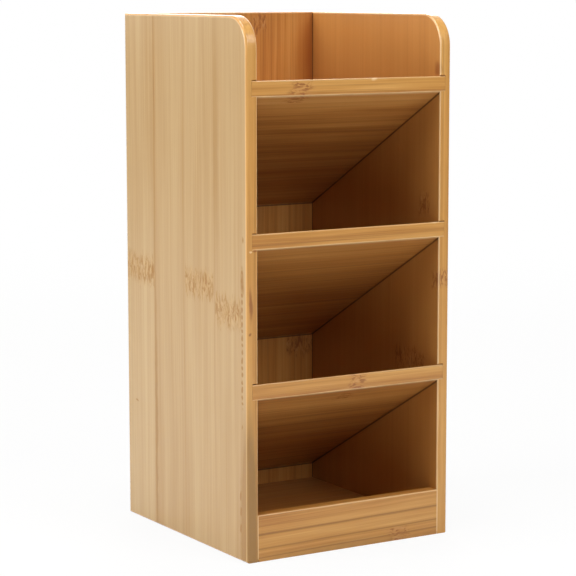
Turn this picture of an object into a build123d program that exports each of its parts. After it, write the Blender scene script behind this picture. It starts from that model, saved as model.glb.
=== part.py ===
from build123d import *
import math
import os

# Tall bamboo desk pen organizer: two side panels with rounded top front corners carry three shelves
# that slope down towards the back, over a flat bottom board with a plinth across its front.
# Millimetres. +Z is up, the open front faces -Y, and the origin is the centre of the footprint.

# Overall size
width = 130.0
depth = 137.0
height = 290.0

# Boards
side_thickness = 7.0
shelf_thickness = 7.5
back_thickness = 5.0
bottom_thickness = 7.0
plinth_thickness = 7.0
plinth_height = 25.5

# Sloping shelves
shelf_slope = 28.5
shelf_names = ("lower_shelf", "middle_shelf", "top_shelf")
lowest_shelf_front_height = 96.7
shelf_pitch = 80.0

# Housings cut into the side panels, and the play that the glue takes up
housing_depth = 3.5
shelf_play = 0.3
end_play = 0.1

# Rounded corners and eased edges
top_corner_radius = 17.0
outer_edge_radius = 1.5
inner_edge_radius = 1.0
shelf_edge_radius = 0.5
back_edge_radius = 0.8

# Wooden dowels between the plinth and the side panels
dowel_radius = 2.0
dowel_length = 14.0
dowel_depth_in_side = 4.5
dowel_margin = 7.0
dowel_play = 0.05
dowel_end_play = 0.3

# Brads through the back panel into the shelves and the bottom board
brad_radius = 0.6
brad_length = 12.0
brad_head_radius = 1.1
brad_head_thickness = 0.5
brad_sink = 0.2
brad_inset = 22.0
brad_play = 0.02

# How far a cut starts outside the wood, and how closely an edge has to lie at a place to be picked
cut_overrun = 5.0
pick_tolerance = 1e-4

# Places that follow from the sizes above
front_face = -depth / 2
rear_face = depth / 2
back_front_face = rear_face - back_thickness
side_inner_face = width / 2 - side_thickness
housing_floor = side_inner_face + housing_depth
tongue_end = housing_floor - end_play
slope_tangent = math.tan(math.radians(shelf_slope))
shelf_face_height = shelf_thickness / math.cos(math.radians(shelf_slope))
shelf_run = back_front_face - front_face
shelf_drop = shelf_run * slope_tangent


def span(x_range, y_range, z_range):
    """A box between two limits on each axis."""
    sizes = [high - low for low, high in (x_range, y_range, z_range)]
    corner = [low for low, high in (x_range, y_range, z_range)]
    return Pos(*corner) * Box(*sizes, align=(Align.MIN, Align.MIN, Align.MIN))


def across_x(points, half_width):
    """A closed outline of (y, z) points made solid over both half widths along X."""
    outline = Plane.YZ * make_face(Polyline(*points, close=True))
    return extrude(outline, amount=half_width, both=True)


def rod(start, direction, radius, length):
    """A round rod from a point along a direction."""
    return extrude(Plane(origin=start, z_dir=direction) * Circle(radius), amount=length)


def shelf_front_top(level):
    """Height of a shelf's top edge at the front face."""
    return lowest_shelf_front_height + level * shelf_pitch


def sloping_band(front_top, face_height, y_start, y_end):
    """(y, z) corners of a band that falls towards the back, under a top line given at the front face."""
    def top_at(y):
        return front_top - (y - front_face) * slope_tangent

    return [
        (y_start, top_at(y_start)),
        (y_end, top_at(y_end)),
        (y_end, top_at(y_end) - face_height),
        (y_start, top_at(y_start) - face_height),
    ]


def edges_on(shape, axis, value):
    """The edges of a shape whose centre and ends all lie at one value of an axis."""
    def lies_there(edge):
        points = [edge.position_at(share) for share in (0.0, 0.5, 1.0)]
        return all(abs(getattr(point, axis) - value) < pick_tolerance for point in points)

    return ShapeList(edge for edge in shape.edges() if lies_there(edge))


def dowel_heights():
    """Heights of the dowels in each end of the plinth."""
    return (dowel_margin, plinth_height - dowel_margin)


def dowel_row_y():
    """Where the dowels lie in the plinth's thickness."""
    return front_face + plinth_thickness / 2


def brad_places():
    """(x, z) of each brad: two in each shelf's rear end, level with its middle halfway in, and two in
    the bottom board."""
    bite = brad_length + brad_sink + brad_head_thickness - back_thickness
    heights = [bottom_thickness / 2]
    for level in range(len(shelf_names)):
        rear_middle = shelf_front_top(level) - shelf_drop - shelf_face_height / 2
        heights.append(rear_middle + slope_tangent * bite / 2)
    across = width / 2 - brad_inset
    return [(x, z) for z in heights for x in (-across, across)]


def panel_blank():
    """The right side panel before its housings: rounded top front corner and eased edges."""
    blank = span((side_inner_face, width / 2), (front_face, rear_face), (0, height))
    top_front = edges_on(blank, "Z", height).filter_by(Axis.X).sort_by(Axis.Y)[0]
    blank = fillet(top_front, top_corner_radius)
    blank = fillet(edges_on(blank, "X", width / 2), outer_edge_radius)
    inner_edges = [
        edge
        for edge in edges_on(blank, "X", side_inner_face)
        if edge.center().Z > pick_tolerance and edge.center().Y < rear_face - pick_tolerance
    ]
    blank = fillet(inner_edges, inner_edge_radius)
    plinth_seat = span(
        (side_inner_face, side_inner_face + inner_edge_radius),
        (front_face, front_face + inner_edge_radius),
        (outer_edge_radius, plinth_height),
    )
    return blank + plinth_seat


def side_panel():
    """The right side panel with its shelf housings, back and bottom rebates and dowel holes."""
    panel = panel_blank()
    for level in range(len(shelf_names)):
        band = sloping_band(
            shelf_front_top(level) + shelf_play,
            shelf_face_height + shelf_play,
            front_face - cut_overrun,
            back_front_face,
        )
        housing = Pos(side_inner_face, 0, 0) * extrude(
            Plane.YZ * make_face(Polyline(*band, close=True)), amount=housing_depth
        )
        panel -= housing
    panel -= span((0, housing_floor), (back_front_face, rear_face), (0, height))
    panel -= span(
        (0, housing_floor),
        (front_face + plinth_thickness, back_front_face),
        (0, bottom_thickness),
    )
    for z in dowel_heights():
        start = (side_inner_face, dowel_row_y(), z)
        panel -= rod(start, (1, 0, 0), dowel_radius + dowel_play, dowel_depth_in_side)
    return panel


def mirrored(shape):
    """The same piece for the left side."""
    return mirror(shape, about=Plane.YZ)


def brad(x, z, play=0.0):
    """One brad driven from behind, or its hole when given some play."""
    head_seat = rear_face - brad_sink - brad_head_thickness
    shank = rod((x, head_seat, z), (0, -1, 0), brad_radius + play, brad_length)
    head_length = brad_head_thickness if play == 0.0 else rear_face - head_seat
    head = rod((x, head_seat, z), (0, 1, 0), brad_head_radius + play, head_length)
    return shank + head


def with_brad_holes(board):
    """A board with the brad holes that reach it cut out."""
    for x, z in brad_places():
        board -= brad(x, z, brad_play)
    return board


def back_panel():
    """The back panel, set into the rebates of both side panels, with its top edges eased."""
    board = span((-tongue_end, tongue_end), (back_front_face, rear_face), (0, height))
    board = fillet(edges_on(board, "Z", height).filter_by(Axis.X), back_edge_radius)
    return with_brad_holes(board)


def bottom_board():
    """The flat floor of the lowest compartment, between the plinth and the back panel."""
    board = span(
        (-tongue_end, tongue_end),
        (front_face + plinth_thickness, back_front_face),
        (0, bottom_thickness),
    )
    return with_brad_holes(board)


def front_plinth():
    """The board across the front under the lowest compartment."""
    board = span(
        (-side_inner_face, side_inner_face),
        (front_face, front_face + plinth_thickness),
        (0, plinth_height),
    )
    board = fillet(edges_on(board, "Z", plinth_height).filter_by(Axis.X), shelf_edge_radius)
    for z in dowel_heights():
        hole_length = dowel_length - dowel_depth_in_side + dowel_end_play
        for side in (-1, 1):
            start = (side * side_inner_face, dowel_row_y(), z)
            board -= rod(start, (-side, 0, 0), dowel_radius + dowel_play, hole_length)
    return board


def sloping_shelf(level):
    """One shelf, its ends in the housings and its front and rear cut upright."""
    band = sloping_band(shelf_front_top(level), shelf_face_height, front_face, back_front_face)
    board = across_x(band, tongue_end)
    board = fillet(edges_on(board, "Y", front_face).filter_by(Axis.X), shelf_edge_radius)
    return with_brad_holes(board)


def plinth_dowels():
    """Dowels seated at the floor of their holes in the side panels."""
    dowels = []
    for side in (-1, 1):
        for z in dowel_heights():
            start = (side * (side_inner_face + dowel_depth_in_side), dowel_row_y(), z)
            dowels.append(rod(start, (-side, 0, 0), dowel_radius, dowel_length))
    return Compound(dowels)


def back_panel_brads():
    """The brads that pin the back panel."""
    return Compound([brad(x, z) for x, z in brad_places()])


def build_nodes():
    """Every sub-part under its name."""
    right = side_panel()
    nodes = {
        "right_side_panel": right,
        "left_side_panel": mirrored(right),
        "back_panel": back_panel(),
        "bottom_board": bottom_board(),
        "front_plinth": front_plinth(),
        "plinth_dowels": plinth_dowels(),
        "back_panel_brads": back_panel_brads(),
    }
    for level, name in enumerate(shelf_names):
        nodes[name] = sloping_shelf(level)
    return nodes


os.makedirs("parts", exist_ok=True)
for node_name, node_shape in build_nodes().items():
    export_step(node_shape, f"parts/{node_name}.step")
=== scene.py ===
import math
from collections import namedtuple

import bpy
from mathutils import Matrix, Vector


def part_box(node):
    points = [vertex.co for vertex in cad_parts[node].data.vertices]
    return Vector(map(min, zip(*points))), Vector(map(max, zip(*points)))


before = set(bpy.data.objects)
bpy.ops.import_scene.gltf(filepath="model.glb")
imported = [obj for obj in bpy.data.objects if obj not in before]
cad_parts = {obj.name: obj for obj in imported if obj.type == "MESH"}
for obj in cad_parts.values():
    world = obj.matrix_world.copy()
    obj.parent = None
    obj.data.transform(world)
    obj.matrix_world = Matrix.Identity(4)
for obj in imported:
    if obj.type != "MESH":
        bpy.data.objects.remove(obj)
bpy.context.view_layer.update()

# The looks of a tall bamboo desk pen organizer: lacquered boards of glued bamboo strips.
# Metres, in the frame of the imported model: +Z is up and the open front faces -Y.

MM = 0.001

# The sloping shelves
SHELF_NAMES = ("lower_shelf", "middle_shelf", "top_shelf")
SHELF_SLOPE = math.radians(28.5)
SHELF_THICKNESS = 7.5 * MM
SHELF_FACE_HEIGHT = SHELF_THICKNESS / math.cos(SHELF_SLOPE)

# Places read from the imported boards
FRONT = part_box("left_side_panel")[0].y
REAR_INNER_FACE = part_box("back_panel")[0].y
OUTER_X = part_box("right_side_panel")[1].x
INNER_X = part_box("right_side_panel")[0].x
PLINTH_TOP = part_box("front_plinth")[1].z

# Directions
ALONG_X = (1.0, 0.0, 0.0)
ALONG_Y = (0.0, 1.0, 0.0)
ALONG_Z = (0.0, 0.0, 1.0)
TOWARDS_FRONT = (0.0, -1.0, 0.0)
DOWN_SLOPE = (0.0, math.cos(SHELF_SLOPE), -math.sin(SHELF_SLOPE))
SHELF_UPWARD = (0.0, math.sin(SHELF_SLOPE), math.cos(SHELF_SLOPE))

# Bamboo colours, linear
HONEY_DARK = (0.33, 0.120, 0.020)
HONEY_DEEP = (0.47, 0.198, 0.037)
HONEY = (0.56, 0.262, 0.056)
HONEY_LIGHT = (0.67, 0.360, 0.098)
RED_HONEY = (0.64, 0.222, 0.042)
# Paler tones of the broad outer faces: a painted sheen of the lacquer
SHEEN_PALE_DEEP = (0.39, 0.222, 0.078)
SHEEN_PALE = (0.460, 0.294, 0.130)
SHEEN_PALE_LIGHT = (0.53, 0.368, 0.182)
STREAK_TAN = (0.38, 0.190, 0.038)
SHADE_BROWN = (0.34, 0.176, 0.046)
# Painted shade for the back panel's inner corner
RED_CORNER_SHADE = (0.40, 0.112, 0.017)
FIBRE_BROWN = (0.25, 0.088, 0.018)
KNOT_BROWN = (0.28, 0.088, 0.018)
KNOT_TAN = (0.32, 0.145, 0.020)
KNOT_HALO = (0.47, 0.190, 0.040)
# Knot halo made paler for the face with the painted sheen
SHEEN_KNOT_HALO = (0.43, 0.235, 0.060)
KNOT_CREAM = (0.70, 0.460, 0.210)
# Cream of small chips in the wear, and of the painted highlight lines on the eased edges
WORN_AND_HIGHLIGHT_CREAM = (0.82, 0.600, 0.330)
# Painted shade in the thin gaps where boards meet
GAP_SHADE_BROWN = (0.045, 0.016, 0.005)

# Painted shade: the inner faces are this much deeper in colour than the front
INNER_SHADE_TINT = (0.92, 0.87, 0.97)

# Beech and steel colours, linear
BEECH_DEEP = (0.50, 0.31, 0.16)
BEECH_PALE = (0.66, 0.45, 0.26)
BEECH_FLECK = (0.34, 0.18, 0.08)
STEEL_DULL = (0.33, 0.33, 0.34)
STEEL_BRIGHT = (0.58, 0.58, 0.57)

# A noise spends nearly all its time between these values
NOISE_LOW = 0.3
NOISE_HIGH = 0.7

# How far a strip's tone shifts its grain, and how far a slow noise shifts the outline of a spot
GRAIN_SHIFT = 37.0
SPOT_DRIFT = 3.0 * MM

# What a board carries, in millimetres. A strip runs from its edge to the next one's, with a glue line
# as dark as its joint. A knot and a row of pits lie at a side across the fibres and a run along them.
Strip = namedtuple("Strip", "edge tone joint", defaults=(0.0,))
Knot = namedtuple("Knot", "side run half_side half_run")
PitRow = namedtuple("PitRow", "side first last pitch half_width half_length")

# In metres: a spot around a point, a gap with painted shade at a position along a direction, and front
# edges with a painted highlight, each a (position, strength), along a direction
Spot = namedtuple("Spot", "centre radii strength", defaults=(1.0,))
Gap = namedtuple("Gap", "direction position")
Rim = namedtuple("Rim", "direction edges")
NO_RIM = Rim(ALONG_Z, ())


def mm(*numbers):
    """Millimetres as metres."""
    return tuple(number * MM for number in numbers)


def on_left_face(y, z):
    """A point of the left panel's outer face, from millimetres."""
    return (-OUTER_X, y * MM, z * MM)


def on_front(x, z):
    """A point of the front, from millimetres."""
    return (x * MM, FRONT, z * MM)


class Graph:
    """Short calls that build one node tree."""

    def __init__(self, tree):
        self.tree = tree
        self.tree.nodes.clear()

    def node(self, kind, inputs=(), **settings):
        """A node with its settings and inputs. An input is a value or the socket that feeds it."""
        made = self.tree.nodes.new("ShaderNode" + kind)
        for key, value in settings.items():
            setattr(made, key, value)
        for key, value in dict(inputs).items():
            if isinstance(value, bpy.types.NodeSocket):
                self.tree.links.new(value, made.inputs[key])
            else:
                made.inputs[key].default_value = value
        return made

    def math(self, operation, a, b=0.0, clamp=False):
        return self.node("Math", {0: a, 1: b}, operation=operation, use_clamp=clamp).outputs[0]

    def plus(self, a, b, clamp=False):
        return self.math("ADD", a, b, clamp)

    def minus(self, a, b):
        return self.math("SUBTRACT", a, b)

    def times(self, a, b):
        return self.math("MULTIPLY", a, b)

    def larger(self, a, b):
        return self.math("MAXIMUM", a, b)

    def distance(self, a, b):
        return self.math("ABSOLUTE", self.minus(a, b))

    def blend(self, a, b, share):
        """A value carried from a to b by a share."""
        return self.plus(a, self.times(self.minus(b, a), share))

    def dot(self, vector, direction):
        inputs = {0: vector, 1: direction}
        return self.node("VectorMath", inputs, operation="DOT_PRODUCT").outputs["Value"]

    def length(self, vector):
        return self.node("VectorMath", {0: vector}, operation="LENGTH").outputs["Value"]

    def join(self, x, y, z):
        return self.node("CombineXYZ", {0: x, 1: y, 2: z}).outputs[0]

    def scaled(self, vector, scale, shift=(0.0, 0.0, 0.0)):
        """A vector multiplied by one scale per axis and shifted."""
        inputs = {0: vector, 1: scale, 2: shift}
        return self.node("VectorMath", inputs, operation="MULTIPLY_ADD").outputs[0]

    def noise(self, vector, detail=2.0, roughness=0.5, distortion=0.0):
        inputs = {
            "Vector": vector,
            "Scale": 1.0,
            "Detail": detail,
            "Roughness": roughness,
            "Distortion": distortion,
        }
        return self.node("TexNoise", inputs).outputs["Fac"]

    def remap(self, value, low, high, to_low=0.0, to_high=1.0, smooth=False):
        """A value carried from one range to another and kept inside it."""
        inputs = {0: value, 1: low, 2: high, 3: to_low, 4: to_high}
        kind = "SMOOTHSTEP" if smooth else "LINEAR"
        return self.node("MapRange", inputs, interpolation_type=kind).outputs[0]

    def stretched(self, noise, low=0.0, high=1.0):
        """A noise carried from its usual range to another."""
        return self.remap(noise, NOISE_LOW, NOISE_HIGH, low, high)

    def mix(self, factor, a, b):
        """Two colours mixed. A colour is three linear numbers or a socket."""
        made = self.node("Mix", data_type="RGBA")
        for socket, value in ((made.inputs[0], factor), (made.inputs[6], a), (made.inputs[7], b)):
            if isinstance(value, bpy.types.NodeSocket):
                self.tree.links.new(value, socket)
            elif isinstance(value, tuple):
                socket.default_value = (*value, 1.0)
            else:
                socket.default_value = value
        return made.outputs[2]

    def painted(self, colour, paint, mask, strength):
        """A colour with a paint over it where the mask is 1, at most as strong as given."""
        return self.mix(self.times(mask, strength), colour, paint)

    def ramp(self, value, stops, kind="LINEAR"):
        """A colour ramp from (place, colour) stops."""
        made = self.node("ValToRGB", {0: value})
        made.color_ramp.interpolation = kind
        elements = made.color_ramp.elements
        while len(elements) < len(stops):
            elements.new(1.0)
        for element, (place, colour) in zip(elements, stops):
            element.position = place
            element.color = (*colour, 1.0)
        return made.outputs["Color"]

    def ellipsoid(self, position, spot, soft):
        """1 inside an ellipsoid around a point, falling to 0 at its surface."""
        inputs = {"Vector": position, "Location": spot.centre, "Scale": spot.radii}
        local = self.node("Mapping", inputs, vector_type="TEXTURE").outputs[0]
        return self.remap(self.length(local), 1.0, 1.0 - soft, smooth=True)

    def bump(self, height, strength, distance):
        inputs = {"Strength": strength, "Distance": distance, "Height": height}
        return self.node("Bump", inputs).outputs[0]

    def surface(self, inputs):
        """The surface shader, wired to the material's output."""
        shader = self.node("BsdfPrincipled", inputs)
        self.node("OutputMaterial", {"Surface": shader.outputs[0]})


def new_material(name):
    """A material and its empty graph."""
    material = bpy.data.materials.new(name)
    material.use_nodes = True
    return material, Graph(material.node_tree)


class Board:
    """Coordinates of a board: run along its fibres, side across its strips and deep through it. Its shares
    say which way a face looks: to the front, out on the side whose paler colour is a painted sheen, or in
    on the other."""

    def __init__(self, graph, along, across, origin, sheen_side):
        self.through = tuple(Vector(along).cross(Vector(across)))
        self.lies_across = along[0] > 0.5
        self.place = graph.node("TexCoord").outputs["Object"]
        self.normal = graph.node("TexCoord").outputs["Normal"]
        shifted = graph.node("VectorMath", {0: self.place, 1: origin}, operation="SUBTRACT").outputs[0]
        self.run = graph.dot(shifted, along)
        self.side = graph.dot(shifted, across)
        self.deep = graph.dot(shifted, self.through)
        self.turned = graph.math("ABSOLUTE", graph.dot(self.normal, self.through))
        self.facing_front = graph.remap(graph.dot(self.normal, TOWARDS_FRONT), 0.3, 0.6)
        self.sheen_face = 0.0
        self.inner_face = 0.0
        # The face looking out on this side carries a painted sheen
        if sheen_side is not None:
            outward = graph.dot(self.normal, sheen_side)
            self.sheen_face = graph.remap(outward, 0.88, 0.99, smooth=True)
            self.inner_face = graph.remap(outward, -0.88, -0.99, smooth=True)


class Grain:
    """Noises stretched along a board's fibres. The strip's tone shifts them, so each strip has its own."""

    def __init__(self, graph, board, side, tone, seed):
        own = graph.times(tone, GRAIN_SHIFT)
        local = graph.join(side, board.deep, board.run)
        shift = graph.join(own, seed, own)

        def layer(scale, detail, roughness=0.5, distortion=0.0):
            return graph.noise(graph.scaled(local, scale, shift), detail, roughness, distortion)

        self.broad = layer((110.0, 110.0, 4.0), 2.0)
        self.medium = layer((420.0, 420.0, 7.0), 3.0, 0.6)
        self.fine = layer((1500.0, 1500.0, 26.0), 3.0, 0.6)
        self.lines = graph.remap(layer((700.0, 700.0, 4.0), 2.0), 0.56, 0.74)
        self.flames = layer((560.0, 560.0, 185.0), 3.0, 0.6, 1.0)
        self.cloud = layer((160.0, 160.0, 90.0), 2.0)
        self.slow = layer((60.0, 60.0, 9.0), 1.0)


def wavering_side(graph, board, seed):
    """The distance across the strips, wavering a little along the board."""
    pattern = graph.join(seed, graph.times(board.side, 30.0), graph.times(board.run, 9.0))
    return graph.plus(board.side, graph.stretched(graph.noise(pattern), -0.6 * MM, 0.6 * MM))


def strip_tones(graph, side, strips, end):
    """The tone of each glued strip, constant from its edge to the next one's."""
    low = strips[0].edge * MM
    high = end * MM
    stops = [((strip.edge * MM - low) / (high - low), (strip.tone,) * 3) for strip in strips]
    return graph.ramp(graph.remap(side, low, high), stops, "CONSTANT")


def strip_joints(graph, side, strips, half_width):
    """The glue lines at the strips' first edges, each as dark as its strip says."""
    total = 0.0
    for strip in strips:
        if strip.joint > 0.0:
            away = graph.distance(side, strip.edge * MM)
            line = graph.remap(away, half_width, 0.0, 0.0, strip.joint, smooth=True)
            total = graph.larger(total, line)
    return total


def knot_bands(graph, board, knots):
    """Bands of the knots, ragged at their upper and lower ends."""
    fray = graph.noise(graph.join(graph.times(board.side, 420.0), 0.0, 3.7), 3.0, 0.7)
    run = graph.plus(board.run, graph.stretched(fray, -4.0 * MM, 4.0 * MM))
    total = 0.0
    for knot in knots:
        off_side = graph.distance(board.side, knot.side * MM)
        off_run = graph.distance(run, knot.run * MM)
        within_side = graph.remap(off_side, knot.half_side * MM, knot.half_side * 0.85 * MM, smooth=True)
        within_run = graph.remap(off_run, knot.half_run * MM, knot.half_run * 0.25 * MM, smooth=True)
        total = graph.larger(total, graph.times(within_side, within_run))
    return total


def spots(graph, place, marks, soft):
    """1 inside any of the spots."""
    total = 0.0
    for mark in marks:
        total = graph.larger(total, graph.ellipsoid(place, mark, soft))
    return total


def pit_row(graph, board, row):
    """A row of small oval pits along the fibres."""
    wobble = graph.noise(graph.join(graph.times(board.run, 160.0), 0.0, 8.1), 2.0)
    run = graph.plus(board.run, graph.stretched(wobble, -1.2 * MM, 1.2 * MM))
    phase = graph.math("PINGPONG", run, row.pitch * 0.5 * MM)
    off_side = graph.minus(board.side, row.side * MM)
    off_side = graph.plus(off_side, graph.stretched(wobble, 0.5 * MM, -0.5 * MM))
    across = graph.math("DIVIDE", off_side, row.half_width * MM)
    along = graph.math("DIVIDE", phase, row.half_length * MM)
    pits = graph.remap(graph.length(graph.join(across, along, 0.0)), 1.0, 0.5, smooth=True)
    above = graph.remap(board.run, row.first * MM, (row.first + row.pitch) * MM)
    below = graph.remap(board.run, row.last * MM, (row.last - row.pitch) * MM)
    return graph.times(pits, graph.times(above, below))


def gap_shade_lines(graph, place, gaps):
    """Painted shade: thin dark lines where another board meets this face, for the shadow in the gaps
    between the boards.
    """
    total = 0.0
    for gap in gaps:
        away = graph.distance(graph.dot(place, gap.direction), gap.position)
        total = graph.larger(total, graph.remap(away, 0.65 * MM, 0.25 * MM, smooth=True))
    return total


def rim_highlights(graph, board, rim, fine):
    """Painted highlight lines along the front edges."""
    position = graph.dot(board.place, rim.direction)
    highlight_width = graph.remap(fine, 0.35, 0.65, 0.6 * MM, 1.1 * MM)
    total = 0.0
    for edge, strength in rim.edges:
        near = graph.math("DIVIDE", graph.distance(position, edge), highlight_width)
        band = graph.remap(near, 1.0, 0.4, 0.0, strength, smooth=True)
        total = graph.larger(total, band)
    return graph.times(total, board.facing_front)


def wood_level(graph, board, grain, tone, contrast, lively, front_lift):
    """How light the wood is, from 0 to 1. The contrast is full on the front and less elsewhere."""
    level = graph.times(graph.remap(grain.broad, 0.28, 0.72), 0.34)
    level = graph.plus(level, graph.stretched(grain.medium, 0.0, 0.30))
    level = graph.plus(level, graph.stretched(grain.fine, 0.0, 0.14))
    level = graph.plus(level, graph.times(tone, 0.22), clamp=True)
    steep = graph.remap(level, 0.5 - 0.5 / contrast, 0.5 + 0.5 / contrast)
    level = graph.blend(level, steep, graph.remap(board.facing_front, 0.0, 1.0, 0.3, 1.0))
    level = graph.blend(0.5, level, lively)
    return graph.plus(level, graph.times(board.facing_front, front_lift), clamp=True)


def wood_colour(graph, board, level, warmth, painted_inner_shade):
    """The colour of the plain wood: honey, deeper on the broad inner faces as painted shade, and paler on
    the outer face as a painted sheen.
    """
    honey = graph.ramp(level, [(0.0, HONEY_DARK), (0.30, HONEY_DEEP), (0.56, HONEY), (1.0, HONEY_LIGHT)])
    colour = graph.mix(warmth, honey, RED_HONEY)
    # Painted shade: the broad faces turned away from the front take a deeper tint
    if painted_inner_shade:
        shaded_inner_face = graph.remap(board.turned, 0.80, 0.95, smooth=True)
        colour = graph.mix(shaded_inner_face, colour, graph.scaled(colour, INNER_SHADE_TINT))
    # Painted sheen: the paler tones of the outer face
    pale = graph.ramp(level, [(0.15, SHEEN_PALE_DEEP), (0.5, SHEEN_PALE), (0.9, SHEEN_PALE_LIGHT)])
    return graph.mix(board.sheen_face, colour, pale)


def with_joints(graph, grain, colour, lines, beside):
    """A colour with its glue lines and the stained wood beside them."""
    colour = graph.painted(colour, STREAK_TAN, beside, 0.85)
    waxing = graph.remap(grain.slow, 0.35, 0.65, 0.45, 1.0)
    return graph.painted(colour, FIBRE_BROWN, lines, waxing)


def with_shades(graph, grain, place, colour, shades, shade_colour):
    """A colour with its darker patches, streaky along the fibres."""
    for spot in shades:
        streaks = graph.stretched(grain.medium, 0.5 * spot.strength, spot.strength)
        colour = graph.painted(colour, shade_colour, graph.ellipsoid(place, spot, 0.9), streaks)
    return colour


def with_knots(graph, grain, colour, knot, dashes, halo_colour, dash_colour):
    """A colour with its knots: ragged bands of short brown and cream flames."""
    colour = graph.painted(colour, halo_colour, knot, graph.stretched(grain.cloud, 0.15, 0.60))
    cream = graph.times(graph.remap(grain.flames, 0.46, 0.36), knot)
    colour = graph.painted(colour, KNOT_CREAM, cream, 0.22)
    return graph.painted(colour, dash_colour, dashes, 0.80)


def edge_highlights(graph, board, grain, rim):
    """Where painted highlights lie on the edges: along the front, and where the normal turns from a broad
    face to a narrow one."""
    highlight = rim_highlights(graph, board, rim, grain.fine)
    if board.lies_across:
        return highlight
    rising = graph.remap(board.turned, 0.70, 0.85, 0.0, 0.45, smooth=True)
    falling = graph.remap(board.turned, 0.99, 0.95, smooth=True)
    return graph.larger(highlight, graph.times(rising, falling))


def lacquered(graph, colour, height, roughness):
    """The shader of lacquered wood."""
    graph.surface(
        {
            "Base Color": colour,
            "Roughness": roughness,
            "Normal": graph.bump(height, 0.35, 0.12 * MM),
            "Specular IOR Level": 0.40,
            "Coat Weight": 0.50,
            "Coat Roughness": 0.14,
        }
    )


def bamboo(
    name,
    along,
    across,
    strips,
    end,
    seed,
    origin=(0.0, 0.0, 0.0),
    knots=(),
    stains=(),
    shades=(),
    chips=(),
    pits=(),
    gaps=(),
    sheen_side=None,
    rim=NO_RIM,
    painted_inner_shade=True,
    warmth=0.0,
    contrast=1.0,
    calm=0.0,
    joint_glow=2.6,
    joint_width=0.8,
    front_lift=0.0,
    shade_colour=SHADE_BROWN,
):
    """Lacquered bamboo of glued strips, across the board up to its end in millimetres. Calm evens out the
    grain of the face opposite the side whose paler colour is a painted sheen."""
    material, graph = new_material(name)
    board = Board(graph, along, across, origin, sheen_side)
    side = wavering_side(graph, board, seed)
    tone = strip_tones(graph, side, strips, end)
    grain = Grain(graph, board, side, tone, seed)
    lively = graph.minus(1.0, graph.times(board.inner_face, calm))

    # Plain wood with its dark fibres, glue lines and shaded patches
    level = wood_level(graph, board, grain, tone, contrast, lively, front_lift)
    colour = wood_colour(graph, board, level, warmth, painted_inner_shade)
    streak = graph.mix(board.sheen_face, FIBRE_BROWN, STREAK_TAN)
    colour = graph.painted(colour, streak, graph.times(grain.lines, 0.30 * contrast), lively)
    beside = graph.times(strip_joints(graph, side, strips, joint_glow * MM), lively)
    joints = graph.times(strip_joints(graph, side, strips, joint_width * MM), lively)
    colour = with_joints(graph, grain, colour, joints, beside)
    drift = graph.times(graph.minus(grain.cloud, 0.5), SPOT_DRIFT)
    place = graph.scaled(board.place, (1.0, 1.0, 1.0), graph.join(drift, drift, drift))
    colour = with_shades(graph, grain, place, colour, shades, shade_colour)

    # Knots and small marks
    knot = knot_bands(graph, board, knots)
    dashes = graph.times(graph.remap(grain.flames, 0.49, 0.57), knot)
    halo_colour = graph.mix(board.sheen_face, KNOT_HALO, SHEEN_KNOT_HALO)
    dash_colour = graph.mix(board.sheen_face, KNOT_BROWN, KNOT_TAN)
    colour = with_knots(graph, grain, colour, knot, dashes, halo_colour, dash_colour)
    colour = graph.painted(colour, dash_colour, spots(graph, place, stains, 0.7), 0.80)
    for row in pits:
        colour = graph.painted(colour, dash_colour, pit_row(graph, board, row), 0.90)
    colour = graph.painted(colour, WORN_AND_HIGHLIGHT_CREAM, spots(graph, place, chips, 0.6), 0.75)
    # Painted shade in the gaps under the shelves and along the back panel
    gap = graph.times(gap_shade_lines(graph, board.place, gaps), board.inner_face)
    colour = graph.painted(colour, GAP_SHADE_BROWN, gap, 0.8)
    # Painted highlight: cream lines along the eased edges
    colour = graph.painted(colour, WORN_AND_HIGHLIGHT_CREAM, edge_highlights(graph, board, grain, rim), 0.75)

    # Relief and gloss
    height = graph.plus(graph.times(grain.fine, 0.35), graph.times(grain.medium, 0.65))
    height = graph.minus(height, graph.times(joints, 1.6))
    height = graph.minus(height, graph.times(dashes, 0.8))
    roughness = graph.plus(graph.stretched(grain.fine, 0.36, 0.50), graph.times(dashes, 0.10))
    lacquered(graph, colour, height, roughness)
    return material


GAP_OFFSET = 0.3 * MM


def underside_position(node_name):
    """Where a shelf's underside lies along the shelf's own upward direction."""
    corner = Vector((0.0, FRONT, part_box(node_name)[1].z - SHELF_FACE_HEIGHT))
    return corner.dot(Vector(SHELF_UPWARD))


def underside_at_back(node_name):
    """Height at which a shelf's underside meets the back panel."""
    drop = (REAR_INNER_FACE - FRONT) * math.tan(SHELF_SLOPE)
    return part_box(node_name)[1].z - SHELF_FACE_HEIGHT - drop


SIDE_GAPS = [Gap(SHELF_UPWARD, underside_position(shelf) - GAP_OFFSET) for shelf in SHELF_NAMES]
SIDE_GAPS.append(Gap(ALONG_Y, REAR_INNER_FACE - GAP_OFFSET))
BACK_GAPS = [Gap(ALONG_Z, underside_at_back(shelf) - GAP_OFFSET) for shelf in SHELF_NAMES]


def side_panel_bamboo(name, outward, strips, seed, **details):
    """A side panel: upright fibres, strips from front to back, an outer face made paler by a painted sheen
    and a calmer inner one."""
    return bamboo(
        name,
        ALONG_Z,
        ALONG_Y,
        strips,
        -FRONT / MM,
        seed,
        sheen_side=(float(outward), 0.0, 0.0),
        # Painted highlight along the inner front edge
        rim=Rim(ALONG_X, [(INNER_X * outward, 0.9)]),
        gaps=SIDE_GAPS,
        calm=0.70,
        contrast=1.2,
        front_lift=0.16,
        **details,
    )


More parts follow.
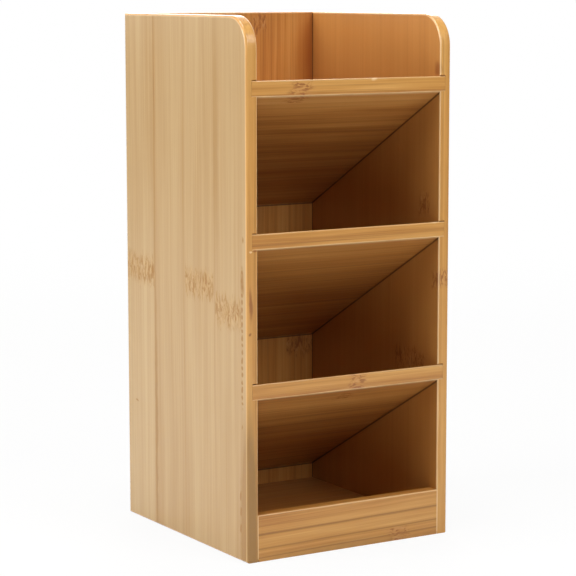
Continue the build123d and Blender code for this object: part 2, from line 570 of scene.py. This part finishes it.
def left_side_bamboo():
    """The left panel, whose outer face shows its knots, a row of pits and the stained front strip."""
    return side_panel_bamboo(
        "bamboo_left_side",
        -1,
        [
            Strip(-70, 0.95),
            Strip(-63.0, 0.62, 0.15),
            Strip(-34.5, 0.80, 0.18),
            Strip(-0.8, 0.55, 0.14),
            Strip(33.5, 0.85, 0.55),
        ],
        1.7,
        knots=[Knot(51, 145.5, 18.0, 10.5), Knot(-17.5, 145.0, 17.0, 10.0), Knot(-49, 133.5, 15.0, 11.0)],
        stains=[
            Spot(on_left_face(36.5, 147), mm(3, 2.5, 4)),
            Spot(on_left_face(57, 68.5), mm(2, 2.0, 0.9)),
            Spot(on_left_face(-64.3, 151), mm(3, 2.4, 10)),
            Spot(on_left_face(-64.6, 173.7), mm(2, 1.1, 2.4)),
            Spot(on_left_face(-64.0, 73), mm(2, 1.1, 2.0)),
            Spot(on_front(-62.5, 139), mm(1.6, 3, 12)),
            Spot(on_front(-62.9, 123.4), mm(0.9, 1, 1.2)),
            Spot(on_front(-59.4, 167.8), mm(2.2, 2, 0.8)),
        ],
        shades=[
            Spot(on_left_face(-36.5, 225), mm(4, 5.0, 95), 0.60),
            Spot(on_left_face(35.5, 225), mm(4, 4.5, 120), 0.45),
            Spot(on_left_face(-47, 55), mm(4, 11, 75), 0.38),
            Spot(on_front(-64, 15), mm(8, 10.0, 90), 2.6),
            Spot(on_left_face(33.2, 55), mm(4, 2.2, 120), 1.4),
            Spot(on_left_face(-6, 20), mm(4, 6, 90), 0.32),
        ],
        chips=[Spot(on_front(-61.9, 167.6), mm(1.3, 2, 0.8))],
        pits=[PitRow(-63.9, 82, 160, 3.9, 1.25, 1.8), PitRow(-62.0, 8, 46, 9.0, 1.2, 3.2)],
    )


def right_side_bamboo():
    """The right panel, whose inner face shows in the bays."""
    return side_panel_bamboo(
        "bamboo_right_side",
        1,
        [
            Strip(-70, 0.80),
            Strip(-58, 0.6, 0.05),
            Strip(-24, 0.45, 0.08),
            Strip(9, 0.7, 0.05),
            Strip(43, 0.5, 0.2),
        ],
        4.1,
        knots=[Knot(-54, 186, 5.5, 8), Knot(-66, 144, 4.5, 7), Knot(26, 150, 16, 8), Knot(-41, 96, 16, 8)],
        stains=[Spot(mm(58, -66, 260), mm(3, 4, 6))],
    )


def back_bamboo():
    """The back panel: upright fibres, strips from side to side, redder than the other boards."""
    return bamboo(
        "bamboo_back",
        ALONG_Z,
        ALONG_X,
        [Strip(-62, 0.3), Strip(-28, 0.7, 0.1), Strip(5, 0.45, 0.15), Strip(46, 0.25, 0.1)],
        62,
        7.3,
        knots=[Knot(21.5, 283, 5, 7.5), Knot(-12, 170, 15, 8), Knot(50, 90, 11, 8)],
        gaps=BACK_GAPS,
        sheen_side=ALONG_Y,
        painted_inner_shade=False,
        # Painted shade: a darker, redder patch at the right end, in the corner by the right panel
        shades=[Spot(mm(60, 63.5, 262), mm(17, 6, 60), 1.0)],
        shade_colour=RED_CORNER_SHADE,
        contrast=1.6,
        warmth=0.24,
    )


def shelf_bamboo(name, node_name, strips, seed, **details):
    """A sloping shelf: fibres from side to side, measured down the slope from its front top edge."""
    front_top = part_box(node_name)[1].z
    origin = (0.0, FRONT, front_top)
    # Painted highlights along the lower and upper front edges
    rim = Rim(ALONG_Z, [(front_top - SHELF_FACE_HEIGHT, 0.95), (front_top, 0.45)])
    return bamboo(
        name, ALONG_X, DOWN_SLOPE, strips, 156.0, seed, origin=origin, rim=rim, contrast=1.75, **details
    )


def top_shelf_bamboo():
    return shelf_bamboo(
        "bamboo_top_shelf",
        "top_shelf",
        [
            Strip(-2, 0.65),
            Strip(19, 0.10, 0.12),
            Strip(46, 0.15, 0.1),
            Strip(80, 0.7, 0.1),
            Strip(115, 0.8, 0.1),
        ],
        11.9,
        knots=[Knot(6.5, -31, 6.5, 9)],
        chips=[Spot(on_front(15, 256.2), mm(2.2, 2, 1.5))],
    )


def middle_shelf_bamboo():
    return shelf_bamboo(
        "bamboo_middle_shelf",
        "middle_shelf",
        [
            Strip(-2, 0.50),
            Strip(22, 0.20, 0.1),
            Strip(52, 0.15, 0.1),
            Strip(97, 0.7, 0.1),
            Strip(130, 0.5, 0.1),
        ],
        15.1,
        chips=[Spot(on_front(55, 176.6), mm(4.2, 2, 0.9))],
    )


def lower_shelf_bamboo():
    return shelf_bamboo(
        "bamboo_lower_shelf",
        "lower_shelf",
        [
            Strip(-2, 0.35),
            Strip(12, 0.75, 0.1),
            Strip(34, 0.2, 0.1),
            Strip(66, 0.4, 0.1),
            Strip(110, 0.55, 0.1),
        ],
        19.7,
        knots=[Knot(3, 4.5, 4.5, 7), Knot(15.5, 3.5, 5, 7)],
    )


PLINTH_TILT = 0.0204


def plinth_bamboo():
    """The plinth: fibres from side to side, a little out of level."""
    return bamboo(
        "bamboo_plinth",
        (1.0, 0.0, PLINTH_TILT),
        (-PLINTH_TILT, 0.0, 1.0),
        [Strip(-3, 0.15), Strip(3.0, 0.35, 0.35), Strip(7.6, 0.50, 0.50), Strip(15.5, 0.45, 0.70)],
        28,
        23.3,
        knots=[Knot(3.0, 32.5, 4.0, 8.5)],
        shades=[Spot(on_front(0, 0), mm(90, 4, 6), 0.6)],
        # Painted highlight along the top edge
        rim=Rim(ALONG_Z, [(PLINTH_TOP, 0.8)]),
        painted_inner_shade=False,
        contrast=1.7,
        joint_glow=1.1,
        joint_width=0.55,
    )


def bottom_bamboo():
    """The bottom board: fibres from side to side, strips from front to back."""
    return bamboo(
        "bamboo_bottom",
        ALONG_X,
        ALONG_Y,
        [Strip(-63, 0.4), Strip(-30, 0.6, 0.1), Strip(4, 0.3, 0.1), Strip(38, 0.5, 0.1)],
        65,
        29.9,
    )


def beech():
    """Turned beech of the dowels: pale, fine and slightly flecked."""
    material, graph = new_material("beech_dowels")
    place = graph.node("TexCoord").outputs["Object"]
    grain = graph.noise(graph.scaled(place, (90.0, 1300.0, 1300.0)), 3.0, 0.6)
    flecks = graph.remap(graph.noise(graph.scaled(place, (500.0, 1800.0, 1800.0)), 2.0), 0.62, 0.72)
    colour = graph.ramp(grain, [(0.3, BEECH_DEEP), (0.7, BEECH_PALE)])
    colour = graph.painted(colour, BEECH_FLECK, flecks, 0.5)
    graph.surface(
        {
            "Base Color": colour,
            "Roughness": graph.stretched(grain, 0.55, 0.7),
            "Normal": graph.bump(grain, 0.3, 0.1 * MM),
        }
    )
    return material


def steel():
    """Drawn steel of the brads, scuffed by the hammer on the heads."""
    material, graph = new_material("steel_brads")
    place = graph.node("TexCoord").outputs["Object"]
    scuffs = graph.noise(graph.scaled(place, (1800.0, 300.0, 1800.0)), 3.0, 0.7)
    colour = graph.ramp(graph.remap(scuffs, 0.35, 0.65), [(0.0, STEEL_DULL), (1.0, STEEL_BRIGHT)])
    graph.surface(
        {
            "Base Color": colour,
            "Metallic": 1.0,
            "Roughness": graph.stretched(scuffs, 0.30, 0.48),
            "Normal": graph.bump(scuffs, 0.25, 0.05 * MM),
        }
    )
    return material


def dress(node_name, material):
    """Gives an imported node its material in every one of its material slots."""
    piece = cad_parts[node_name]
    if not piece.data.materials:
        piece.data.materials.append(material)
    for index in range(len(piece.data.materials)):
        piece.data.materials[index] = material


board_materials = {
    "left_side_panel": left_side_bamboo(),
    "right_side_panel": right_side_bamboo(),
    "back_panel": back_bamboo(),
    "top_shelf": top_shelf_bamboo(),
    "middle_shelf": middle_shelf_bamboo(),
    "lower_shelf": lower_shelf_bamboo(),
    "front_plinth": plinth_bamboo(),
    "bottom_board": bottom_bamboo(),
}
for node_name, material in board_materials.items():
    dress(node_name, material)
dress("plinth_dowels", beech())
dress("back_panel_brads", steel())

# Stage
WHITE = (1.0, 1.0, 1.0, 1.0)
FLOOR_SIZE = 30.0
FLOOR_DROP = 0.1 * MM
FLOOR_PAINT = (0.72, 0.72, 0.71, 1.0)
NEAR_FLOOR = 0.6
FAR_FLOOR = 1.5
NEAR_WHITE_SHARE = 0.90


def floor_material():
    """White floor that shows only the object's shadow to the camera."""
    material, graph = new_material("pale_floor")
    rays = graph.node("LightPath")
    paint = graph.node("BsdfDiffuse", {"Color": FLOOR_PAINT})
    white = graph.node("Emission", {"Color": WHITE, "Strength": 1.0})
    away = graph.length(graph.node("TexCoord").outputs["Object"])
    share = graph.remap(away, NEAR_FLOOR, FAR_FLOOR, NEAR_WHITE_SHARE, 1.0, smooth=True)
    share = graph.times(share, rays.outputs["Is Camera Ray"])
    both = graph.node("MixShader", {0: share, 1: paint.outputs[0], 2: white.outputs[0]})
    graph.node("OutputMaterial", {"Surface": both.outputs[0]})
    return material


bpy.ops.mesh.primitive_plane_add(size=FLOOR_SIZE, location=(0.0, 0.0, -FLOOR_DROP))
floor = bpy.context.object
floor.name = "floor"
floor.data.materials.append(floor_material())

# Studio light
ROOM_LEVEL = 0.03
BACKDROP_STARTS = 0.05
BACKDROP_FULL = 0.35
LAMP_TARGET = (0.0, 0.0, 0.15)


def white_room():
    """A plain white surround: strength 1 to the camera, and to reflections that look past the object
    to the backdrop. To everything else it is a dim even room."""
    world = bpy.data.worlds.new("studio")
    bpy.context.scene.world = world
    world.use_nodes = True
    graph = Graph(world.node_tree)
    rays = graph.node("LightPath")
    axes = graph.node("SeparateXYZ", {0: graph.node("TexCoord").outputs["Generated"]})
    behind = graph.remap(axes.outputs["Y"], BACKDROP_STARTS, BACKDROP_FULL)
    reflected = graph.times(behind, rays.outputs["Is Glossy Ray"])
    seen = graph.larger(reflected, rays.outputs["Is Camera Ray"])
    level = graph.blend(ROOM_LEVEL, 1.0, seen)
    background = graph.node("Background", {"Color": WHITE, "Strength": level})
    graph.node("OutputWorld", {"Surface": background.outputs[0]})


def softbox(name, position, size, power):
    """A large square lamp aimed at the middle of the object."""
    data = bpy.data.lights.new(name, "AREA")
    data.shape = "SQUARE"
    data.size = size
    data.energy = power
    lamp = bpy.data.objects.new(name, data)
    bpy.context.scene.collection.objects.link(lamp)
    lamp.location = position
    lamp.rotation_mode = "QUATERNION"
    lamp.rotation_quaternion = (Vector(LAMP_TARGET) - Vector(position)).to_track_quat("-Z", "Y")


white_room()
softbox("overhead_softbox", (0.0, -0.066, 2.05), size=0.90, power=24.5)
softbox("side_softbox", (-1.768, 0.248, 0.80), size=0.90, power=27.2)
softbox("high_left_softbox", (-1.058, -0.611, 1.606), size=0.75, power=7.5)
softbox("near_right_softbox", (0.29, -0.80, 0.767), size=0.45, power=3.2)
softbox("near_front_softbox", (0.0, -0.974, 0.543), size=0.45, power=2.3)
softbox("rear_softbox", (0.85, 1.40, 0.80), size=0.90, power=13.0)

# Camera, from straight edges and corners of the photograph
CAMERA_PLACE = (-0.6302, -1.0388, 0.3045)
CAMERA_YAW = math.radians(31.388)
CAMERA_PITCH = math.radians(7.910)
CAMERA_ROLL = math.radians(0.041)
CAMERA_LENS = 135.30
CAMERA_SENSOR = 36.0
CAMERA_SHIFT_X = -0.0036


def camera():
    """The photograph's viewpoint."""
    data = bpy.data.cameras.new("camera")
    data.sensor_width = CAMERA_SENSOR
    data.lens = CAMERA_LENS
    data.shift_x = CAMERA_SHIFT_X
    data.clip_start = 0.05
    data.clip_end = 50.0
    seat = bpy.data.objects.new("camera", data)
    bpy.context.scene.collection.objects.link(seat)
    turn = Matrix.Rotation(-CAMERA_YAW, 4, "Z") @ Matrix.Rotation(math.pi / 2 - CAMERA_PITCH, 4, "X")
    turn = turn @ Matrix.Rotation(-CAMERA_ROLL, 4, "Z")
    seat.matrix_world = Matrix.Translation(CAMERA_PLACE) @ turn
    bpy.context.scene.camera = seat


camera()
bpy.context.scene.view_settings.view_transform = "Standard"
